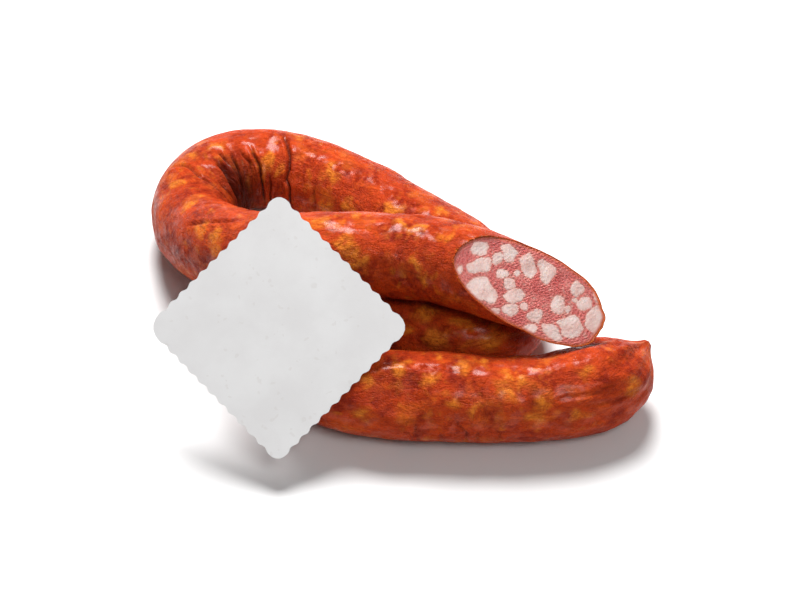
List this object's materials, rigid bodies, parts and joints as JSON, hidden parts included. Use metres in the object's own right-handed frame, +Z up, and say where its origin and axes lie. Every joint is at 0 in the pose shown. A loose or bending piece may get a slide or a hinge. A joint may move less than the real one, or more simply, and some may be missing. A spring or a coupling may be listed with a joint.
{
  "type": "cured sausage coil",
  "caption": "Semi-smoked sausage in natural casing, lying in a loose coil with one slanting cut end and a bare diamond paper label resting on it.",
  "frame": {"origin": "middle of the whole object's footprint, on the surface that it rests on", "axes": "+Z up, +X along the front arm towards the pinched end, +Y from the front arm to the back arm"},
  "size_m": [0.2317, 0.2058, 0.0888],
  "materials": {
    "sausage": "glossy natural casing, red-brown from smoke",
    "label": "matte paper card"
  },
  "bodies": {
    "root": {"sausage": "sausage", "label": "label"}
  },
  "joints": []
}
